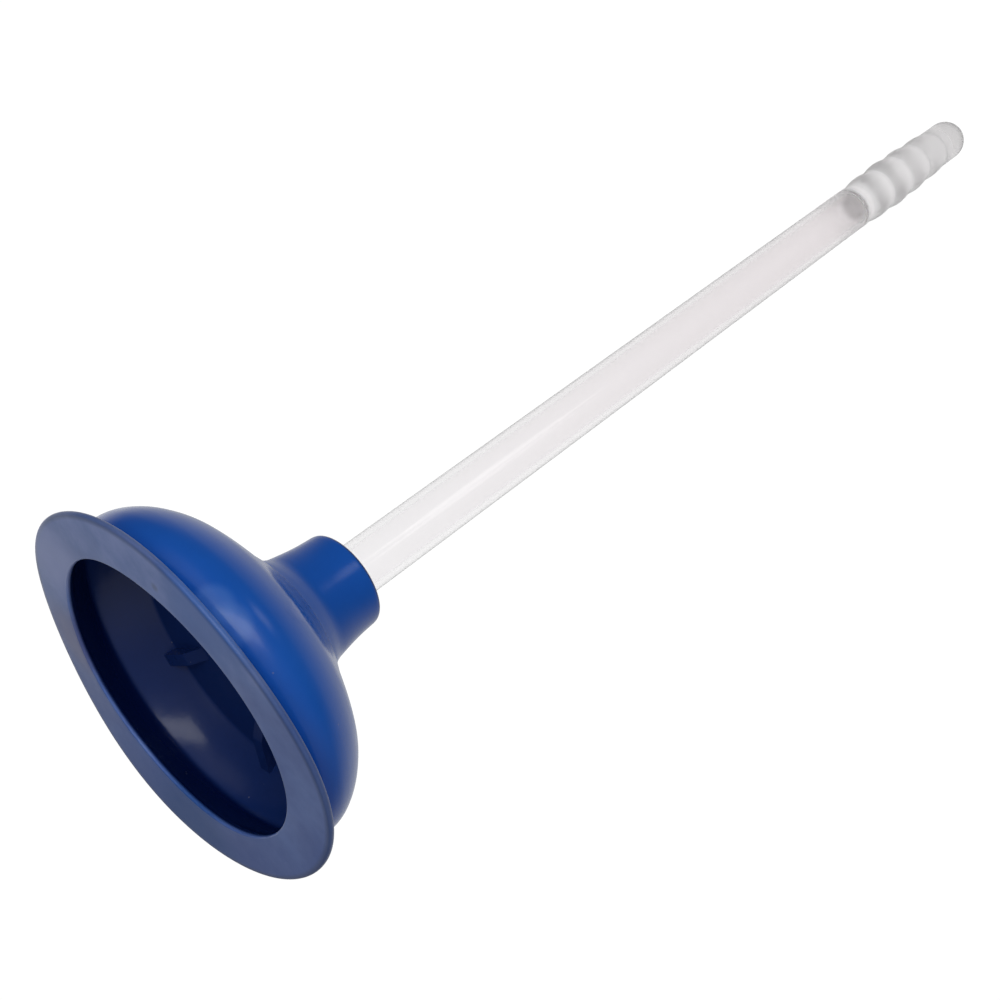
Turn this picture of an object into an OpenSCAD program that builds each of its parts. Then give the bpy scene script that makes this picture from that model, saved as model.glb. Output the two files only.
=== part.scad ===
// Sink plunger: a blue rubber force cup on a clear plastic handle.
// The origin is the centre of the cup's mouth, on the plane that the lip seals on.
// +Z runs up the handle.

/* [Lip] */
// Outer radius of the flat lip
lip_r = 70; // [66:0.5:74]
// Radius of the mouth
mouth_r = 51.8; // [50:0.1:52.4]
// Thickness of the lip at its outer edge
lip_edge_h = 2; // [1.4:0.1:2.6]
// Height of the crease where the lip meets the bell
lip_h = 4.6; // [4:0.1:5]

/* [Bell] */
// Widest outer radius of the bell
bell_r = 61.8; // [60.5:0.1:63]
// Wall thickness of the bell
bell_wall_t = 3.2; // [2.6:0.1:3.6]
// Height of the flat ceiling inside the cup
ceiling_z = 28.3; // [27.5:0.1:29]

/* [Crown] */
// Height of the hub's top around the neck
hub_z = 44.2; // [43.9:0.1:44.3]
// Radius of the hub's top edge
hub_r = 26.9; // [25.6:0.1:27.6]
// Number of stiffening ribs under the crown
rib_n = 6; // [4:1:8]
// Width of a rib
rib_w = 5.2; // [4:0.1:6]
// Depth of a rib below the ceiling
rib_h = 4; // [3:0.1:4.2]
// Radius at which a rib starts
rib_in_r = 28; // [22:0.5:32]
// Angle of the first rib from the X axis
rib_a0 = 45; // [0:1:60]

/* [Neck] */
// Height of the neck's open end
neck_top_z = 73.3; // [72.4:0.1:76]
// Radius of the neck at its open end
neck_top_r = 17.7; // [16.4:0.1:18.5]
// Radius of the neck at its base
neck_base_r = 20.8; // [19.6:0.1:21]
// Height of the point that the neck flexes about
flex_z = 46; // [45.8:0.1:46.2]
// Radius of the neck's rounded root
root_r = 15.5; // [14.9:0.1:15.8]
// Depth of the handle socket below the neck's open end
socket_d = 37.3; // [34:0.1:37.6]
// Radial clearance of the handle in its socket
socket_gap = 0.05; // [0.02:0.01:0.1]

/* [Handle] */
// Outer radius of the handle tube
tube_r = 9.7; // [9.3:0.1:10]
// Radius of the bore in the handle
tube_bore_r = 7.2; // [6:0.1:8]
// Height at which the bore ends, below the solid grip
bore_top_z = 394.5; // [390:0.5:396]
// Radius of the plain knob at the closed end
knob_r = 9.2; // [8.8:0.1:9.3]
// Length of the knob's straight part
knob_l = 12.4; // [11:0.1:14]

/* [Finger grip] */
// Height of the first waist of the grip
grip_z = 394; // [392:0.5:396]
// Spacing of the finger bulges
grip_pitch = 16.4; // [16:0.1:16.8]
// Height that the tallest bulge stands proud of the tube
grip_h = 1.2; // [0.9:0.1:1.4]
// Depth of the groove below the first bulge
groove_d = 0.5; // [0.3:0.1:0.6]

/* [Hidden] */
$fn = 96;
rubber = [0.15, 0.33, 0.60];
lip_col = [0.36, 0.44, 0.56];
clear = [0.88, 0.88, 0.90, 0.45];
clearance = 0.3;
joint_gap = 0.1;
socket_z = neck_top_z - socket_d;
k = bell_r / 61.8;

// Smooth curve through hand-set points (Catmull-Rom), n steps to each span
function cr(a, b, c, d, t) =
    0.5 * (2 * b + (c - a) * t + (2 * a - 5 * b + 4 * c - d) * t * t
           + (3 * b - a - 3 * c + d) * t * t * t);
function curve(p, n) = concat(
    [for (i = [0 : len(p) - 2]) for (j = [0 : n - 1])
        cr(p[max(i - 1, 0)], p[i], p[i + 1], p[min(i + 2, len(p) - 1)], j / n)],
    [p[len(p) - 1]]);
function back(p) = [for (i = [len(p) - 1 : -1 : 0]) p[i]];

// Outer skin of the bell, from the lip crease up to the crown: [radius, height]
bell_out = [[56.9 * k, lip_h], [59.6 * k, 7.2], [61.3 * k, 10], [61.8 * k, 13],
            [61.2 * k, 17], [59.2 * k, 21], [56.6 * k, 24.5],
            [53.2 * k, ceiling_z - joint_gap]];
// Outer skin of the crown, from the bell up to the hub's edge
crown_out = [[53.0 * k, ceiling_z + joint_gap], [48.9 * k, 31.5], [42.8 * k, 35.2],
             [37.8 * k, 37.9], [34.4, 39.9], [31.0, 42.0],
             [hub_r + 1, hub_z - 0.4]];
// Inner skin of the bell
function inner(p) = [for (q = p) [q[0] - bell_wall_t * (q[1] < 13 ? 1.08 : 1.12), q[1]]];

// Flat sealing lip with a thin outer edge
module lip_ring() {
    color(lip_col)
    rotate_extrude()
    polygon([[mouth_r, 0.4], [mouth_r + 0.4, 0], [lip_r - 0.6, 0], [lip_r, 0.6],
             [lip_r, lip_edge_h - 0.5], [lip_r - 0.6, lip_edge_h],
             [lip_r - 5, lip_edge_h + 0.9], [bell_out[0][0] + 1.6, lip_h - 0.4],
             [bell_out[0][0], lip_h], [bell_out[0][0] - bell_wall_t - 0.4, lip_h],
             [mouth_r + 0.3, 2.4]]);
}

// Thin flexible wall between the lip and the crown
module bell_wall() {
    outer = curve(bell_out, 3);
    color(rubber)
    rotate_extrude()
    polygon(concat(outer, back(inner(outer))));
}

// Thick crown with a flat ceiling, stiffening ribs and a rounded seat for the neck's root
module crown() {
    skin = curve(crown_out, 3);
    color(rubber)
    difference() {
        union() {
            rotate_extrude()
            polygon(concat([[0, ceiling_z + joint_gap]], skin,
                           [[hub_r + 0.4, hub_z - 0.1], [hub_r, hub_z], [0, hub_z]]));
            for (i = [0 : rib_n - 1])
                rotate([0, 0, rib_a0 + i * 360 / rib_n])
                crown_rib();
        }
        translate([0, 0, flex_z]) sphere(r = root_r + clearance);
    }
}

// One rib: level near the bell wall, then sloping up into the ceiling
module crown_rib() {
    low = ceiling_z - rib_h;
    intersection() {
        rotate([90, 0, 0])
        translate([0, 0, -rib_w / 2])
        linear_extrude(rib_w)
        polygon([[rib_in_r, ceiling_z + 1], [rib_in_r, ceiling_z], [rib_in_r + 2.5 * rib_h, low],
                 [60, low], [60, ceiling_z + 1]]);
        translate([0, 0, low - 1]) cylinder(r = 49.2 * k, h = rib_h + 4);
    }
}

// Tapered collar with the blind socket that grips the handle
module neck() {
    base_z = hub_z + 3.5;
    span = neck_top_z - base_z;
    side = curve([[neck_base_r, base_z], [neck_base_r - 0.75, base_z + 0.22 * span],
                  [neck_base_r - 1.7, base_z + 0.5 * span],
                  [neck_top_r + 0.7, base_z + 0.78 * span],
                  [neck_top_r, neck_top_z - 1.2]], 3);
    root = [for (a = [-90 : 7.5 : 0]) [root_r * cos(a), flex_z + root_r * sin(a)]];
    bore_r = tube_r + socket_gap;
    color(rubber)
    rotate_extrude()
    polygon(concat(root, [[root_r, base_z]], side,
                   [[neck_top_r - 0.35, neck_top_z - 0.4], [neck_top_r - 1.2, neck_top_z],
                    [bore_r, neck_top_z], [bore_r, socket_z], [0, socket_z]]));
}

// Clear tube with a solid grip: four finger bulges, a plain knob and a hemispherical closed end
module handle() {
    peak = [for (h = [0.62, 1, 0.72, 0.2]) tube_r + h * grip_h];
    waist = [tube_r - 0.2, tube_r + 0.1, tube_r + 0.15, tube_r - 0.2, knob_r];
    bulges = [for (i = [0 : 3]) for (a = [0 : 30 : 330])
        let (f = a / 360, w = waist[i] * (1 - f) + waist[i + 1] * f)
        [w + (peak[i] - (waist[i] + waist[i + 1]) / 2) * pow(sin(a / 2), 1.4),
         grip_z + 1.6 + (i + f) * (grip_pitch * 4 - 1.6) / 4]];
    knob_z = grip_z + 4 * grip_pitch + 1;
    tip_z = knob_z + knob_l;
    tip = [for (a = [0 : 7.5 : 82.5]) [knob_r * cos(a), tip_z + knob_r * sin(a)]];
    color(clear)
    difference() {
        rotate_extrude()
        polygon(concat(
            [[0, socket_z + 0.2], [tube_r - 0.6, socket_z + 0.2], [tube_r, socket_z + 0.8],
             [tube_r, grip_z - 1.9], [tube_r - groove_d, grip_z - 1.5],
             [tube_r - groove_d, grip_z + 0.9]],
            bulges, [[knob_r, knob_z]], tip, [[0, tip_z + knob_r]]));
        translate([0, 0, socket_z - 1]) cylinder(r = tube_bore_r, h = bore_top_z - tube_bore_r - socket_z + 1);
        translate([0, 0, bore_top_z - tube_bore_r]) sphere(r = tube_bore_r);
    }
}

lip_ring();
bell_wall();
crown();
neck();
handle();
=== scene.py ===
import math

import bpy
import numpy as np
from mathutils import Matrix, Vector


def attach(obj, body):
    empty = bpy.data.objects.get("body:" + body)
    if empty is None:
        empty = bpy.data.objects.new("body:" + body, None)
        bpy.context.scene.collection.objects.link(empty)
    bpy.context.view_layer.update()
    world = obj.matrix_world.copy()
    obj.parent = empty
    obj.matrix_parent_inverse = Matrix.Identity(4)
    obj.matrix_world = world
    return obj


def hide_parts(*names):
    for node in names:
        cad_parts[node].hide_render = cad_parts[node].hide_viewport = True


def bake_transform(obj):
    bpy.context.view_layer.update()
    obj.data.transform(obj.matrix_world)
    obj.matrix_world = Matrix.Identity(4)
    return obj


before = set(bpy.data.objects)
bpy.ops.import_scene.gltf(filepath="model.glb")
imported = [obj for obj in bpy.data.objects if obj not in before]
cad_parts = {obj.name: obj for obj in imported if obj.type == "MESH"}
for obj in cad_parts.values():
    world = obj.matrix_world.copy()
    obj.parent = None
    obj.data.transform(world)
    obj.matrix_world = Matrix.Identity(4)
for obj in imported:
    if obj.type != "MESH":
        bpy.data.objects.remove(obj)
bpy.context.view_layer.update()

MM = 0.001


# ---------------------------------------------------------------- mesh helpers
def catmull(points, step):
    """A smooth line through (r, z) points, centripetal Catmull-Rom, about step mm between samples."""
    p = [np.array(q, float) for q in points]
    if len(p) < 3:
        n = max(1, int(math.ceil(np.linalg.norm(p[1] - p[0]) / step)))
        return [p[0] + (p[1] - p[0]) * i / n for i in range(n + 1)]
    ext = [2 * p[0] - p[1]] + p + [2 * p[-1] - p[-2]]
    out = []
    for i in range(1, len(ext) - 2):
        a, b, c, d = ext[i - 1], ext[i], ext[i + 1], ext[i + 2]
        t0 = 0.0
        t1 = t0 + max(np.linalg.norm(b - a), 1e-6) ** 0.5
        t2 = t1 + max(np.linalg.norm(c - b), 1e-6) ** 0.5
        t3 = t2 + max(np.linalg.norm(d - c), 1e-6) ** 0.5
        n = max(2, int(math.ceil(np.linalg.norm(c - b) / step)))
        for k in range(n):
            t = t1 + (t2 - t1) * k / n
            a1 = (t1 - t) / (t1 - t0) * a + (t - t0) / (t1 - t0) * b
            a2 = (t2 - t) / (t2 - t1) * b + (t - t1) / (t2 - t1) * c
            a3 = (t3 - t) / (t3 - t2) * c + (t - t2) / (t3 - t2) * d
            b1 = (t2 - t) / (t2 - t0) * a1 + (t - t0) / (t2 - t0) * a2
            b2 = (t3 - t) / (t3 - t1) * a2 + (t - t1) / (t3 - t1) * a3
            out.append((t2 - t) / (t2 - t1) * b1 + (t - t1) / (t2 - t1) * b2)
    out.append(p[-1])
    return out


def path(*runs, step=0.7):
    """Joins smooth runs end to end. Each run is a list of (r, z), and its ends are corners."""
    out = []
    for run in runs:
        pts = catmull(run, step)
        if out and np.linalg.norm(out[-1] - pts[0]) < 1e-6:
            pts = pts[1:]
        out.extend(pts)
    return np.array(out)


def revolve(name, profile, azimuth, warp=None, sharp=38, zones=None):
    """A closed surface of revolution from a profile whose two ends are on the axis, radius 0.
    azimuth(j) gives the ring's azimuths in radians at profile point j; warp moves the points;
    zones names per-profile-point values that become vertex attributes."""
    n = len(profile)
    first, last = profile[0], profile[-1]
    az0 = azimuth(1)
    m = len(az0)
    pts = []
    for j in range(1, n - 1):
        a = azimuth(j)
        r, z = profile[j]
        pts.append(np.stack([r * np.cos(a), r * np.sin(a), np.full(m, z)], 1))
    pts = np.array(pts)
    if warp is not None:
        pts = warp(pts, profile[1:-1])
    rings = len(pts)
    verts = pts.reshape(-1, 3).tolist()
    bottom = len(verts)
    verts.append([0.0, 0.0, float(first[1])])
    top = len(verts)
    verts.append([0.0, 0.0, float(last[1])])
    faces = []
    for j in range(rings - 1):
        lo, hi = j * m, (j + 1) * m
        for i in range(m):
            k = (i + 1) % m
            faces.append((lo + i, lo + k, hi + k, hi + i))
    for i in range(m):
        k = (i + 1) % m
        faces.append((bottom, k, i))
        faces.append((top, (rings - 1) * m + i, (rings - 1) * m + k))
    mesh = bpy.data.meshes.new(name)
    mesh.from_pydata([(x * MM, y * MM, z * MM) for x, y, z in verts], [], faces)
    mesh.validate()
    mesh.update()
    import bmesh
    bm = bmesh.new()
    bm.from_mesh(mesh)
    bmesh.ops.recalc_face_normals(bm, faces=bm.faces)
    bm.to_mesh(mesh)
    bm.free()
    mesh.polygons.foreach_set("use_smooth", [True] * len(mesh.polygons))
    mesh.set_sharp_from_angle(angle=math.radians(sharp))
    obj = bpy.data.objects.new(name, mesh)
    bpy.context.scene.collection.objects.link(obj)
    # the rest position, so that a procedural material stays put when the piece bends
    co = np.zeros(len(mesh.vertices) * 3, np.float32)
    mesh.vertices.foreach_get("co", co)
    att = mesh.attributes.new("rest", "FLOAT_VECTOR", "POINT")
    att.data.foreach_set("vector", co)
    for zone, values in (zones or {}).items():
        v = np.repeat(np.array(values[1:-1], np.float32), m)
        v = np.concatenate([v, [values[0], values[-1]]]).astype(np.float32)
        mesh.attributes.new(zone, "FLOAT", "POINT").data.foreach_set("value", v)
    return obj


def smooth01(x):
    x = np.clip(x, 0, 1)
    return x * x * (3 - 2 * x)


# ---------------------------------------------------------------- the rubber cup
RIB_N, RIB_A0 = 6, math.radians(45)
RIB_HALF, RIB_WALL = 2.6, 0.28
CEIL, RIB_LOW, RIB_IN = 28.3, 24.3, 28.0
REF = 49.4


def cup_profile():
    well = [(0, 33.6), (15.4, 33.6)]
    well_wall = [(15.4, 33.6), (15.5, 34.2), (15.5, 43.0), (15.8, 43.38)]
    ledge = [(15.8, 43.38), (20, 43.4), (25.42, 43.42)]
    bead = [(25.42, 43.42), (25.46, 43.9), (25.5, 44.7), (25.62, 45.0), (25.84, 45.1), (26.06, 45.0),
            (26.16, 44.75), (26.2, 44.1)]
    ditch = [(26.2, 44.1), (26.28, 43.86), (26.4, 43.8), (26.52, 43.92)]
    hub = [(26.52, 43.92), (26.66, 44.22), (26.9, 44.38), (27.25, 44.34), (27.8, 44.1), (28.5, 43.72), (29.4, 43.2),
           (31.1, 42.1), (33.1, 40.8), (37.6, 38.0), (43.0, 35.0), (48.1, 32.0), (52.5, 29.0),
           (55.5, 26.1), (57.9, 23.2), (59.8, 20.1), (61.1, 17), (61.75, 13.6),
           (61.5, 10.7), (60.9, 8.8), (60.1, 7.2), (59.1, 5.9), (58.3, 5.1), (57.9, 4.75), (57.7, 4.4)]
    lip_top = [(57.7, 4.4), (58.0, 4.12), (59.4, 3.7), (62, 3.2), (66, 2.65), (68.6, 2.3),
               (69.35, 2.08), (69.8, 1.7), (70, 1.15), (69.93, .6), (69.6, .18), (69.0, 0.0)]
    face = [(69.0, 0.0), (63, 0.0), (58, 0.0), (52.7, 0.0)]
    mouth = [(52.7, 0.0), (52.15, .1), (51.85, .45), (51.8, 1.0), (52.0, 1.8), (52.7, 2.8),
             (53.9, 4.0), (55.6, 5.8), (57.3, 8.0), (58.5, 10.0), (58.93, 11.2), (59.0, 12.0), (58.8, 12.9),
             (58.0, 15.2), (57.0, 17.4), (55.6, 20.0), (53.8, 22.7), (51.9, 25.2), (50.7, 26.8),
             (49.95, 27.8), (49.2, 28.3)]
    ceiling = [(49.2, 28.3), (44, 28.3), (38, 28.3), (33, 28.3), (28, 28.3), (22, 28.3)]
    centre = [(22, 28.3), (14, 28.3), (6, 28.3), (0, 28.3)]
    a = path(well, well_wall, ledge, step=1.6)
    a = np.concatenate([a, path(bead, step=0.12)[1:], path(ditch, step=0.1)[1:]])
    b = path(hub, step=0.55)
    c = path(lip_top, step=0.6)
    d = path(face, step=1.5)
    e = path(mouth, step=0.6)
    f = path(ceiling, step=0.8)
    g = path(centre, step=2.5)
    out, kind = [], []
    for k, run in enumerate((a, b, c, d, e, f, g)):
        start = 0 if not out else 1
        for q in run[start:]:
            out.append(q)
            kind.append(k)
    return np.array(out), np.array(kind)


def rib_azimuths():
    """Azimuths at the reference radius, with lines set along each rib's walls."""
    s = [0, 0.9, 1.8, RIB_HALF - RIB_WALL, RIB_HALF - RIB_WALL * .62, RIB_HALF, RIB_HALF + .35]
    local = [math.asin(x / REF) for x in s]
    half = math.pi / RIB_N
    rest = np.linspace(local[-1], half, 27)[1:].tolist()
    side = local + rest
    full = [-x for x in side[::-1][1:]] + side[:-1]
    full = [-half] + [x for x in full if x > -half + 1e-9]
    full = sorted(set(round(x, 9) for x in full))
    if full[-1] > half - 1e-6:
        full = full[:-1]
    return np.array(full), local[-1], half


LOCAL, RIB_EDGE, HALF = rib_azimuths()


def mapped(r_eff):
    """Near a rib the lines run parallel to it; between ribs they spread evenly."""
    inner = np.abs(LOCAL) <= RIB_EDGE + 1e-9
    edge = math.asin(min(0.95, REF * math.sin(RIB_EDGE) / r_eff))
    out = np.where(
        inner,
        np.arcsin(np.clip(REF * np.sin(LOCAL) / r_eff, -0.95, 0.95)),
        np.sign(LOCAL) * (edge + (np.abs(LOCAL) - RIB_EDGE) / (HALF - RIB_EDGE) * (HALF - edge)),
    )
    return np.concatenate([RIB_A0 + i * 2 * HALF + out for i in range(RIB_N)])


# The moulding isn't perfectly flat or round at its lip. Each list is a low harmonic series in mm:
# mean, cos a, sin a, cos 2a, sin 2a, cos 3a, sin 3a, cos 4a, sin 4a.
OUT_R = [-0.3, -0.24, 0.26, -0.53, 0.04, -0.38, -0.1, -0.14, -0.09]
OUT_Z = [-0.49, 0.29, -0.29, 0.54, -1.09, 0.33, -0.2, -0.29, 0.05]
MOUTH_R = [0.04, -1.01, -0.01, 0.39, -0.05, 0.07, 0.1, 0.18, 0.21]
MOUTH_Z = [-0.47, 0.34, -0.04, 0.33, -0.54, -0.09, -0.15, 0.07, -0.1]


def series(c, a):
    out = np.full_like(a, c[0])
    for k in range(1, 5):
        out = out + c[2 * k - 1] * np.cos(k * a) + c[2 * k] * np.sin(k * a)
    return out


def lip_warp(pts):
    """Moves points (.., 3) in mm: the lip's edge and the mouth each have their own small warp, which fades up the bell."""
    x, y, z = pts[..., 0], pts[..., 1], pts[..., 2]
    a = np.arctan2(y, x)
    r = np.hypot(x, y)
    t = np.clip((r - 51.8) / (70.0 - 51.8), 0, 1)
    fade = 1 - smooth01((z - 3.0) / 15.0)
    dr = ((1 - t) * series(MOUTH_R, a) + t * series(OUT_R, a)) * fade
    dz = ((1 - t) * series(MOUTH_Z, a) + t * series(OUT_Z, a)) * fade
    out = pts.copy()
    k = np.where(r > 1e-6, (r + dr) / np.maximum(r, 1e-6), 1.0)
    out[..., 0] = x * k
    out[..., 1] = y * k
    out[..., 2] = z + dz
    return out


def build_cup():
    profile, kind = cup_profile()
    ident = mapped(REF)
    cache = {}

    def az(j):
        if kind[j] < 4:
            return ident
        r = min(max(profile[j][0], 24.0), 54.0)
        key = round(r, 3)
        if key not in cache:
            cache[key] = mapped(key)
        return cache[key]

    local_all = np.concatenate([LOCAL] * RIB_N)

    def warp(pts, prof):
        out = pts.copy()
        ks = kind[1:-1]
        for j in range(len(prof)):
            if ks[j] < 4:
                continue
            r, z = prof[j]
            if z < RIB_LOW - 0.01 or r < RIB_IN - 1:
                continue
            # across the rib: 1 on its flat, 0 outside its wall
            s = np.abs(REF * np.sin(local_all))
            across = smooth01((RIB_HALF - s) / RIB_WALL)
            along = np.clip((r - RIB_IN) / 10.0, 0, 1)
            along = along if along < 1 else 1.0
            low = CEIL - (CEIL - RIB_LOW) * along * across
            out[j, :, 2] = np.minimum(out[j, :, 2], low)
        return lip_warp(out)

    r, z = profile[:, 0], profile[:, 1]
    face = (kind == 3) * 1.0
    face = np.where(kind == 2, smooth01((r - 66.5) / 2.6), face)
    face = np.where(kind == 4, smooth01((1.7 - z) / 1.1), face)
    # painted shade, with some dirt, darkens the ditch beside the raised ring and the crease above the lip
    shade_and_dirt = np.exp(-((r - 26.36) / 0.3) ** 2) * (np.abs(z - 44) < 0.75) * (kind < 4)
    crease = np.exp(-((r - 57.9) / 0.5) ** 2) * (kind < 3) * (z < 6)
    # painted shade: the inner wall below 13.6 mm, just above the mouth, is marked to be painted near black for the
    # lip's shadow
    low = (kind == 4) * smooth01((13.6 - z) / 2.4)
    # the lip's thin edge is a little darker than its face
    edge = (kind == 2) * smooth01((r - 67.6) / 1.4)
    # the raised ring's top is marked for a painted highlight
    zones = {"lip_face": face, "inside": (kind >= 4) * 1.0, "undercut_shade": low,
             "shade_and_dirt": np.maximum(shade_and_dirt, crease), "rim": edge,
             "ridge_highlight": np.exp(-((r - 25.86) / 0.24) ** 2) * (z > 44.5) * (kind < 4)}
    return revolve("rubber_cup", profile, az, warp, zones=zones)


cup = build_cup()


# ---------------------------------------------------------------- the neck
def build_neck():
    prof = path(
        [(0, 34.0), (13.2, 34.0)],
        [(13.2, 34.0), (14.2, 34.3), (14.6, 35.3), (14.6, 42.6), (15.0, 43.12)],
        [(15.0, 43.12), (20, 43.15), (25.15, 43.18)],
        [(25.15, 43.18), (25.24, 43.4), (25.26, 44.15), (25.16, 44.45), (24.95, 44.75)],
        [(24.95, 44.75), (24.6, 45.25), (24.15, 46.0), (23.6, 46.9), (22.9, 48.1),
         (21.9, 49.7), (20.95, 51.4), (20.3, 53.2), (19.85, 55.4), (19.4, 58), (18.85, 61.4),
         (18.4, 65), (18.1, 68.6), (17.95, 71.0), (17.82, 72.1), (17.55, 72.75), (17.1, 73.15),
         (16.4, 73.3), (15.6, 73.3)],
        [(15.6, 73.3), (13.4, 73.3), (11.3, 73.3)],
        [(11.3, 73.3), (10.6, 73.15), (10.05, 72.75), (9.8, 72.1), (9.76, 71.2)],
        [(9.76, 71.2), (9.76, 62.6)],
        # out of sight, the socket is wider, so that the tube's foot stays inside it when the neck bends
        [(9.76, 62.6), (10.1, 60), (10.4, 56.5), (10.62, 53), (10.6, 49), (10.65, 45.5), (11.05, 42),
         (11.5, 38.5), (11.65, 36.2), (11.65, 35.2)],
        [(11.65, 35.2), (0, 35.2)],
        step=0.6,
    )
    ring = np.linspace(0, 2 * math.pi, 256, endpoint=False)
    # painted shade: the outer edge of the neck's open end is marked to be darkened
    rim = smooth01((prof[:, 1] - 72.0) / 0.6) * smooth01((prof[:, 0] - 15.9) / 1.0)
    return revolve("rubber_neck", prof, lambda j: ring, zones={"shade_and_dirt": rim})


neck = build_neck()


# ---------------------------------------------------------------- the clear handle
GRIP_Z, PITCH, TUBE = 394.0, 16.4, 9.7
PEAK = [10.45, 10.9, 10.56, 9.94]
WAIST = [9.5, 9.8, 9.85, 9.5, 9.2]
KNOB_R, KNOB_Z, TIP_Z = 9.2, 460.6, 473.0


def tube_profile():
    foot_z = 36.9
    b, top = 7.2, 387.3
    inside = [(0.0, top + b)]
    for a in np.linspace(math.pi / 2, 0, 22)[1:]:
        inside.append((b * math.cos(a), top + b * math.sin(a)))
    inside += [tuple(q) for q in path([(b, top), (b, 300), (b, 150), (b, 37.8)], step=3.0)[1:]]
    inside += [tuple(q) for q in path([(b, 37.8), (7.25, 37.4), (7.5, 37.02), (7.9, foot_z)], step=0.2)[1:]]
    foot = [tuple(q) for q in path([(7.9, foot_z), (8.9, foot_z)], step=0.5)[1:]]
    foot += [tuple(q) for q in path([(8.9, 36.9), (9.35, 37.05), (9.6, 37.4), (9.7, 38.0)], step=0.2)[1:]]
    tube = [tuple(q) for q in path([(9.7, 38.0), (9.7, 120), (9.69, 220), (9.66, 320), (9.62, 391.2)], step=3.0)[1:]]
    groove = [tuple(q) for q in path(
        [(9.62, 391.2), (9.6, 391.9), (9.52, 392.6), (9.4, 393.3), (9.34, 394.0), (9.36, 394.7),
         (9.42, 395.2)], step=0.25)[1:]]
    bulge = [(9.42, 395.2)]
    for i in range(4):
        for k in range(1, 17):
            f = k / 16
            w = WAIST[i] * (1 - f) + WAIST[i + 1] * f
            h = PEAK[i] - (WAIST[i] + WAIST[i + 1]) / 2
            z = GRIP_Z + 1.6 + (i + f) * (PITCH * 4 - 1.6) / 4
            bulge.append((w + h * math.sin(math.pi * f) ** 1.25, z))
    last = bulge[-1]
    grip = [tuple(q) for q in path(bulge, step=0.5)[1:]]
    knob = [tuple(q) for q in path([last, (KNOB_R, KNOB_Z + 0.4), (KNOB_R, TIP_Z)], step=1.0)[1:]]
    tip = [(KNOB_R * math.cos(a), TIP_Z + KNOB_R * math.sin(a)) for a in np.linspace(0, math.pi / 2, 26)][1:]
    tip[-1] = (0.0, TIP_Z + KNOB_R)
    return np.array(inside + foot + tube + groove + grip + knob + tip)


ring192 = np.linspace(0, 2 * math.pi, 192, endpoint=False)
handle = revolve("clear_handle", tube_profile(), lambda j: ring192, sharp=60)


# ---------------------------------------------------------------- materials
def new_material(name):
    mat = bpy.data.materials.new(name)
    mat.use_nodes = True
    nt = mat.node_tree
    bsdf = next(n for n in nt.nodes if n.type == "BSDF_PRINCIPLED")
    return mat, nt, bsdf


def node(nt, kind, **values):
    n = nt.nodes.new(kind)
    for k, v in values.items():
        setattr(n, k, v)
    return n


def ramp(nt, source, stops, mode="LINEAR"):
    r = node(nt, "ShaderNodeValToRGB")
    r.color_ramp.interpolation = mode
    while len(r.color_ramp.elements) < len(stops):
        r.color_ramp.elements.new(0.5)
    for e, (pos, col) in zip(r.color_ramp.elements, stops):
        e.position = pos
        e.color = (*col, 1) if len(col) == 3 else col
    nt.links.new(source, r.inputs["Fac"])
    return r.outputs["Color"]


def noise(nt, vector, scale, detail=3.0, rough=0.5, out="Fac"):
    n = node(nt, "ShaderNodeTexNoise")
    n.inputs["Scale"].default_value = scale
    n.inputs["Detail"].default_value = detail
    n.inputs["Roughness"].default_value = rough
    nt.links.new(vector, n.inputs["Vector"])
    return n.outputs[out]


def mix_colour(nt, fac, a, b, mode="MIX"):
    m = node(nt, "ShaderNodeMix", data_type="RGBA", blend_type=mode)
    if isinstance(fac, (int, float)):
        m.inputs[0].default_value = fac
    else:
        nt.links.new(fac, m.inputs[0])
    for sock, v in ((m.inputs[6], a), (m.inputs[7], b)):
        if isinstance(v, tuple):
            sock.default_value = (*v, 1)
        else:
            nt.links.new(v, sock)
    return m.outputs[2]


def math_node(nt, op, a, b=None, clamp=False):
    m = node(nt, "ShaderNodeMath", operation=op, use_clamp=clamp)
    for sock, v in zip(m.inputs, (a, b)):
        if v is None:
            continue
        if isinstance(v, (int, float)):
            sock.default_value = v
        else:
            nt.links.new(v, sock)
    return m.outputs[0]


def rest_vector(nt):
    a = node(nt, "ShaderNodeAttribute", attribute_name="rest")
    return a.outputs["Vector"]


def attribute(nt, name):
    return node(nt, "ShaderNodeAttribute", attribute_name=name).outputs["Fac"]


def spot(nt, p, centre, radius, soft):
    """1 within radius of a point on the part (all in mm), fading over soft."""
    d = node(nt, "ShaderNodeVectorMath", operation="DISTANCE")
    nt.links.new(p, d.inputs[0])
    d.inputs[1].default_value = tuple(v * MM for v in centre)
    m = node(nt, "ShaderNodeMapRange", interpolation_type="SMOOTHSTEP")
    m.inputs["From Min"].default_value = (radius + soft) * MM
    m.inputs["From Max"].default_value = radius * MM
    nt.links.new(d.outputs["Value"], m.inputs["Value"])
    return m.outputs["Result"]


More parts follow.
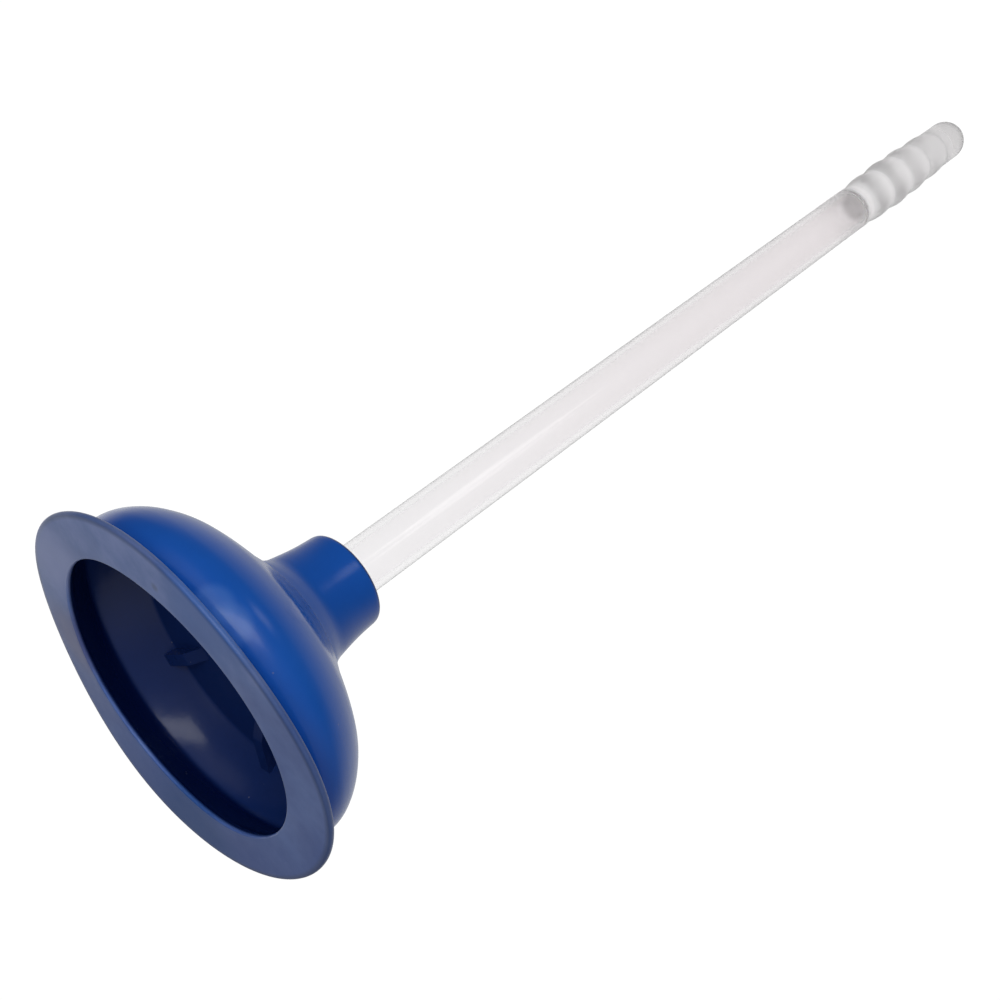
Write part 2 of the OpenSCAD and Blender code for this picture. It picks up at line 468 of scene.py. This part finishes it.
def rubber_material(name, spots_and_painted_light=()):
    mat, nt, bsdf = new_material(name)
    p = rest_vector(nt)
    face = attribute(nt, "lip_face")
    inside = attribute(nt, "inside")
    broad = noise(nt, p, 22.0, 3.0, 0.55)
    colour = ramp(nt, broad, [(0.3, (0.0115, 0.112, 0.54)), (0.7, (0.0145, 0.128, 0.59))])
    # the inside is painted darker and duller: painted shade in the cup's hollow, with some grime
    colour = mix_colour(nt, inside, colour, (0.011, 0.035, 0.178))
    # painted shade: the inner wall just above the mouth is painted near black, standing in for the shadow of the lip
    colour = mix_colour(nt, attribute(nt, "undercut_shade"), colour, (0.0007, 0.0065, 0.058))
    # a grey bloom lies on the lip's face, thicker in patches; towards the lip's -x, -y side the face is also painted
    # lighter, a painted reflection
    axes = node(nt, "ShaderNodeSeparateXYZ")
    nt.links.new(p, axes.inputs[0])
    painted_reflection_slope = math_node(nt, "ADD", math_node(nt, "MULTIPLY", axes.outputs["X"], -2.0),
                      math_node(nt, "MULTIPLY", axes.outputs["Y"], -1.2))
    patch = noise(nt, p, 28.0, 5.0, 0.62)
    patch = math_node(nt, "ADD", math_node(nt, "ADD", math_node(nt, "MULTIPLY", patch, 0.8), 0.1), painted_reflection_slope)
    tone = ramp(nt, patch, [(0.25, (0.060, 0.140, 0.50)), (0.44, (0.112, 0.205, 0.59)), (0.58, (0.165, 0.28, 0.70)),
                            (0.76, (0.34, 0.45, 0.90))])
    colour = mix_colour(nt, face, colour, tone)
    # painted shade, with some dirt: the ditch beside the raised ring, the crease above the lip and the neck's top
    # edge are darkened
    colour = mix_colour(nt, math_node(nt, "MULTIPLY", attribute(nt, "shade_and_dirt"), 0.8), colour, (0.004, 0.018, 0.085))
    colour = mix_colour(nt, math_node(nt, "MULTIPLY", attribute(nt, "rim"), 0.7), colour, (0.062, 0.105, 0.27))
    # painted highlight: the top of the raised ring is painted lighter, standing in for the light it catches
    colour = mix_colour(nt, math_node(nt, "MULTIPLY", attribute(nt, "ridge_highlight"), 0.75), colour, (0.24, 0.38, 0.82))
    # dust specks
    vor = node(nt, "ShaderNodeTexVoronoi", feature="F1")
    vor.inputs["Scale"].default_value = 210.0
    nt.links.new(p, vor.inputs["Vector"])
    dust = ramp(nt, vor.outputs["Distance"], [(0.04, (1, 1, 1)), (0.085, (0, 0, 0))])
    rare = ramp(nt, noise(nt, p, 90.0, 1.0, 0.5), [(0.60, (0, 0, 0)), (0.66, (1, 1, 1))])
    dust = math_node(nt, "MULTIPLY", math_node(nt, "MULTIPLY", dust, rare), 0.3)
    colour = mix_colour(nt, dust, colour, (0.30, 0.30, 0.34))
    for centre, radius, soft, strength, tone in spots_and_painted_light:
        # a spot on the lip's face stays on the face, and a spot on the bell, a painted highlight, stays off the
        # inside
        where = face if centre[2] == 0.0 else math_node(nt, "SUBTRACT", 1.0, inside)
        k = math_node(nt, "MULTIPLY", math_node(nt, "MULTIPLY", spot(nt, p, centre, radius, soft), where), strength)
        colour = mix_colour(nt, k, colour, tone)
    nt.links.new(colour, bsdf.inputs["Base Color"])
    rough = ramp(nt, noise(nt, p, 60.0, 3.0, 0.6), [(0.3, (0.17,) * 3), (0.7, (0.24,) * 3)])
    rough = math_node(nt, "ADD", rough, math_node(nt, "MULTIPLY", face, 0.16))
    nt.links.new(rough, bsdf.inputs["Roughness"])
    # moulded skin: a very fine grain, and slow waves that break up the highlights inside the cup
    fine = noise(nt, p, 900.0, 2.0, 0.6)
    slow = noise(nt, p, 130.0, 3.0, 0.5)
    height = math_node(nt, "ADD", math_node(nt, "MULTIPLY", fine, 0.08),
                       math_node(nt, "MULTIPLY", slow, math_node(nt, "ADD", math_node(nt, "MULTIPLY", inside, 1.3), 0.12)))
    bump = node(nt, "ShaderNodeBump")
    bump.inputs["Strength"].default_value = 0.5
    bump.inputs["Distance"].default_value = 0.0002
    nt.links.new(height, bump.inputs["Height"])
    nt.links.new(bump.outputs["Normal"], bsdf.inputs["Normal"])
    return mat


def clear_material():
    mat, nt, bsdf = new_material("clear_plastic")
    p = rest_vector(nt)
    # the plastic looks a little greyer towards its closed end, where its wall is thicker
    up = node(nt, "ShaderNodeSeparateXYZ")
    nt.links.new(p, up.inputs[0])
    along = node(nt, "ShaderNodeMapRange")
    along.inputs["From Min"].default_value = 0.07
    along.inputs["From Max"].default_value = 0.49
    nt.links.new(up.outputs["Z"], along.inputs["Value"])
    tint = ramp(nt, along.outputs["Result"],
                [(0.0, (0.975, 0.967, 0.973)), (0.45, (0.947, 0.925, 0.932)), (0.745, (0.935, 0.908, 0.915)),
                 (0.79, (0.90, 0.885, 0.89)), (0.88, (0.885, 0.865, 0.873)), (0.93, (0.77, 0.755, 0.76)),
                 (0.98, (0.70, 0.685, 0.69))])
    # painted highlights: pale, less clear bands at the waists between the finger bulges stand in for the bright arcs
    # of light there
    wave = math_node(nt, "FRACT", math_node(nt, "MULTIPLY", math_node(nt, "SUBTRACT", up.outputs["Z"], 0.3956), 62.5))
    near = math_node(nt, "MINIMUM", wave, math_node(nt, "SUBTRACT", 1.0, wave))
    waist_glint = ramp(nt, near, [(0.0, (1, 1, 1)), (0.05, (0.9,) * 3), (0.085, (0, 0, 0))])
    grip = node(nt, "ShaderNodeMapRange", interpolation_type="SMOOTHSTEP")
    grip.inputs["From Min"].default_value = 0.390
    grip.inputs["From Max"].default_value = 0.400
    nt.links.new(up.outputs["Z"], grip.inputs["Value"])
    ends = node(nt, "ShaderNodeMapRange", interpolation_type="SMOOTHSTEP")
    ends.inputs["From Min"].default_value = 0.4655
    ends.inputs["From Max"].default_value = 0.4635
    nt.links.new(up.outputs["Z"], ends.inputs["Value"])
    held = math_node(nt, "MULTIPLY", grip.outputs["Result"], ends.outputs["Result"])
    waist_glint = math_node(nt, "MULTIPLY", waist_glint, held)
    tint = mix_colour(nt, waist_glint, tint, (0.985, 0.98, 0.985))
    # the thick grip is a little milky, and the painted-highlight bands are made less clear so that they show pale
    clear = math_node(nt, "SUBTRACT", 1.0, math_node(nt, "MULTIPLY", grip.outputs["Result"], 0.04))
    clear = math_node(nt, "MULTIPLY", clear, math_node(nt, "SUBTRACT", 1.0, math_node(nt, "MULTIPLY", waist_glint, 0.45)))
    nt.links.new(clear, bsdf.inputs["Transmission Weight"])
    mott = noise(nt, p, 35.0, 2.0, 0.5)
    colour = mix_colour(nt, math_node(nt, "MULTIPLY", mott, 0.04), tint, (0.80, 0.79, 0.80))
    nt.links.new(colour, bsdf.inputs["Base Color"])
    bsdf.inputs["IOR"].default_value = 1.49
    rough = ramp(nt, along.outputs["Result"], [(0.0, (0.10,) * 3), (0.70, (0.12,) * 3), (0.75, (0.26,) * 3),
                                                (0.80, (0.34,) * 3), (0.90, (0.34,) * 3), (0.95, (0.26,) * 3)])
    nt.links.new(rough, bsdf.inputs["Roughness"])
    bump = node(nt, "ShaderNodeBump")
    bump.inputs["Strength"].default_value = 0.03
    bump.inputs["Distance"].default_value = 0.0003
    nt.links.new(math_node(nt, "MULTIPLY", noise(nt, p, 160.0, 2.0, 0.5), grip.outputs["Result"]), bump.inputs["Height"])
    nt.links.new(bump.outputs["Normal"], bsdf.inputs["Normal"])
    return mat


# spots on the cup: centre in mm, radius, fade, strength, colour. Those at z 0 lie on the lip's face: darker and
# lighter patches, specks and a smudge, and the light one at (-57, 8) is a painted reflection. The two on the bell are
# a painted highlight.
LIP_SPOTS_AND_PAINTED_LIGHT = [
    ((37.0, 52.0, 0.0), 8.0, 20.0, 0.7, (0.012, 0.105, 0.40)),
    ((10.0, 61.0, 0.0), 5.0, 16.0, 0.35, (0.05, 0.14, 0.50)),
    ((-36.0, 40.0, 0.0), 6.0, 14.0, 0.55, (0.15, 0.145, 0.34)),
    ((-14.0, -63.0, 0.0), 8.0, 16.0, 0.6, (0.07, 0.20, 0.64)),
    # painted reflection on the lip's face
    ((-57.0, 8.0, 0.0), 6.0, 18.0, 0.75, (0.40, 0.50, 0.95)),
    ((-40.8, -45.8, 0.0), 0.45, 0.35, 0.9, (0.01, 0.012, 0.02)),
    ((-38.6, -44.9, 0.0), 0.25, 0.5, 0.5, (0.03, 0.03, 0.05)),
    ((-20.9, -55.0, 0.0), 0.25, 0.35, 0.9, (0.75, 0.76, 0.8)),
    ((-29.9, -49.6, 0.0), 0.9, 1.6, 0.45, (0.05, 0.06, 0.12)),
    ((48.4, -50.4, 0.0), 0.4, 0.5, 0.6, (0.02, 0.03, 0.06)),
    # painted highlight on the bell, just above the lip
    ((-16.0, -58.5, 5.8), 4.6, 3.4, 0.5, (0.075, 0.22, 0.68)),
    ((-8.5, -59.3, 6.0), 4.6, 3.6, 0.5, (0.075, 0.22, 0.68)),
]
cup.data.materials.append(rubber_material("cup_rubber", LIP_SPOTS_AND_PAINTED_LIGHT))
neck.data.materials.append(rubber_material("neck_rubber"))
handle.data.materials.append(clear_material())

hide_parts("lip_ring", "bell_wall", "crown")
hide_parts("neck")
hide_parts("handle")
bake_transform(cup)
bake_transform(neck)
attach(handle, "handle")


# ---------------------------------------------------------------- camera
RIGHT = Vector((0.589717, -0.449413, 0.671016)).normalized()
BACK = Vector((-0.018605, -0.838206, -0.545037)).normalized()
UP = BACK.cross(RIGHT).normalized()
RIGHT = UP.cross(BACK).normalized()
EYE = Vector((0.0, -0.4565112, -0.1538784))
cam_data = bpy.data.cameras.new("camera")
cam_data.sensor_width = 36.0
cam_data.lens = 53.7215
cam_data.clip_start = 0.01
cam_data.clip_end = 50.0
cam = bpy.data.objects.new("camera", cam_data)
bpy.context.scene.collection.objects.link(cam)
rot = Matrix((RIGHT, UP, BACK)).transposed().to_4x4()
cam.matrix_world = Matrix.Translation(EYE) @ rot
bpy.context.scene.camera = cam


# ---------------------------------------------------------------- floor, lights and surroundings
def floor_material():
    mat = bpy.data.materials.new("pale_floor")
    mat.use_nodes = True
    nt = mat.node_tree
    nt.nodes.clear()
    out = node(nt, "ShaderNodeOutputMaterial")
    lit = node(nt, "ShaderNodeBsdfDiffuse")
    lit.inputs["Color"].default_value = (0.86, 0.86, 0.87, 1)
    gone = node(nt, "ShaderNodeBsdfTransparent")
    mix = node(nt, "ShaderNodeMixShader")
    lp = node(nt, "ShaderNodeLightPath")
    geo = node(nt, "ShaderNodeNewGeometry")
    seen = math_node(nt, "MAXIMUM", lp.outputs["Is Camera Ray"], lp.outputs["Is Transmission Ray"])
    front = math_node(nt, "SUBTRACT", 1.0, geo.outputs["Backfacing"])
    nt.links.new(math_node(nt, "MULTIPLY", seen, front), mix.inputs[0])
    nt.links.new(gone.outputs[0], mix.inputs[1])
    nt.links.new(lit.outputs[0], mix.inputs[2])
    nt.links.new(mix.outputs[0], out.inputs["Surface"])
    return mat


import bmesh

fm = bpy.data.meshes.new("floor")
bm = bmesh.new()
bmesh.ops.create_grid(bm, x_segments=8, y_segments=8, size=0.85)
bm.to_mesh(fm)
bm.free()
floor = bpy.data.objects.new("floor", fm)
floor.location = (0, 0, min(v.co.z for v in cup.data.vertices) - 0.00005)
fm.materials.append(floor_material())
bpy.context.scene.collection.objects.link(floor)

AIM = Vector((0, 0, 0.02))


def softbox(name, direction, distance, width, height, power, aim=AIM, roll=0.0, glossy=True):
    """An area lamp aimed at a point. roll turns it about its own axis, in degrees."""
    d = (RIGHT * direction[0] + UP * direction[1] + BACK * direction[2]).normalized()
    data = bpy.data.lights.new(name, "AREA")
    data.shape = "RECTANGLE"
    data.size, data.size_y = width, height
    data.energy = power
    lamp = bpy.data.objects.new(name, data)
    lamp.location = aim + d * distance
    side = (RIGHT - d * RIGHT.dot(d)).normalized()
    up = d.cross(side)
    a = math.radians(roll)
    across = side * math.cos(a) + up * math.sin(a)
    lamp.rotation_euler = Matrix((across, d.cross(across), d)).transposed().to_euler()
    lamp.visible_camera = False
    lamp.visible_glossy = glossy
    bpy.context.scene.collection.objects.link(lamp)
    return lamp


def watts(radiance, width, height):
    """The power that gives a rectangular lamp this radiance."""
    return radiance * math.pi * width * height


softbox("softbox_key", (0.03, 0.29, 0.96), 1.3, 1.22, 0.42, watts(1.9, 1.22, 0.42), roll=17)
softbox("softbox_fill", (0.08, 0.38, 0.92), 1.4, 1.4, 1.2, watts(1.45, 1.4, 1.2), glossy=False)
softbox("softbox_side", (0.66, 0.66, 0.36), 1.2, 0.28, 0.26, watts(1.3, 0.28, 0.26), aim=Vector((0, 0, 0.06)))

# The room: dim in front, paler behind the object, with a few broad soft patches. What the camera
# sees directly is a plain white backdrop, and clear plastic sees that backdrop through itself.
world = bpy.data.worlds.new("studio")
world.use_nodes = True
bpy.context.scene.world = world
wt = world.node_tree
wt.nodes.clear()
wout = node(wt, "ShaderNodeOutputWorld")
where = node(wt, "ShaderNodeTexCoord").outputs["Generated"]


def toward(direction, near, far):
    """0 beyond far degrees from a direction, rising smoothly to 1 within near degrees."""
    d = (RIGHT * direction[0] + UP * direction[1] + BACK * direction[2]).normalized()
    dot = node(wt, "ShaderNodeVectorMath", operation="DOT_PRODUCT")
    wt.links.new(where, dot.inputs[0])
    dot.inputs[1].default_value = tuple(d)
    m = node(wt, "ShaderNodeMapRange", interpolation_type="SMOOTHSTEP")
    m.inputs["From Min"].default_value = math.cos(math.radians(far))
    m.inputs["From Max"].default_value = math.cos(math.radians(near))
    wt.links.new(dot.outputs["Value"], m.inputs["Value"])
    return m.outputs["Result"]


def room(base, patches):
    total = base
    for direction, near, far, level in patches:
        total = math_node(wt, "ADD", total, math_node(wt, "MULTIPLY", toward(direction, near, far), level))
    bg = node(wt, "ShaderNodeBackground")
    bg.inputs["Color"].default_value = (1, 1, 1, 1)
    wt.links.new(total, bg.inputs["Strength"])
    return bg.outputs[0]


ROOM = [
    ((0.30, 0.10, -0.95), 20, 75, 0.62),
    ((-0.68, -0.38, -0.62), 6, 40, 0.26),
    ((-0.66, 0.10, -0.75), 6, 34, 0.50),
    ((0.42, -0.90, -0.05), 5, 60, 0.16),
    ((-0.44, 0.67, 0.60), 4, 28, 0.26),
    ((0.02, -0.45, 0.89), 20, 75, 0.13),
]
lit = room(0.04, ROOM)
through = room(0.80, [((0, 0, -1), 35, 85, 0.20)])
backdrop = node(wt, "ShaderNodeBackground")
backdrop.inputs["Color"].default_value = (1, 1, 1, 1)
backdrop.inputs["Strength"].default_value = 1.03
lp = node(wt, "ShaderNodeLightPath")
first = node(wt, "ShaderNodeMixShader")
wt.links.new(lp.outputs["Is Transmission Ray"], first.inputs[0])
wt.links.new(lit, first.inputs[1])
wt.links.new(through, first.inputs[2])
second = node(wt, "ShaderNodeMixShader")
wt.links.new(lp.outputs["Is Camera Ray"], second.inputs[0])
wt.links.new(first.outputs[0], second.inputs[1])
wt.links.new(backdrop.outputs[0], second.inputs[2])
wt.links.new(second.outputs[0], wout.inputs["Surface"])

scene = bpy.context.scene
scene.view_settings.view_transform = "Standard"
scene.view_settings.look = "None"
scene.view_settings.exposure = 0.0
scene.view_settings.gamma = 1.0
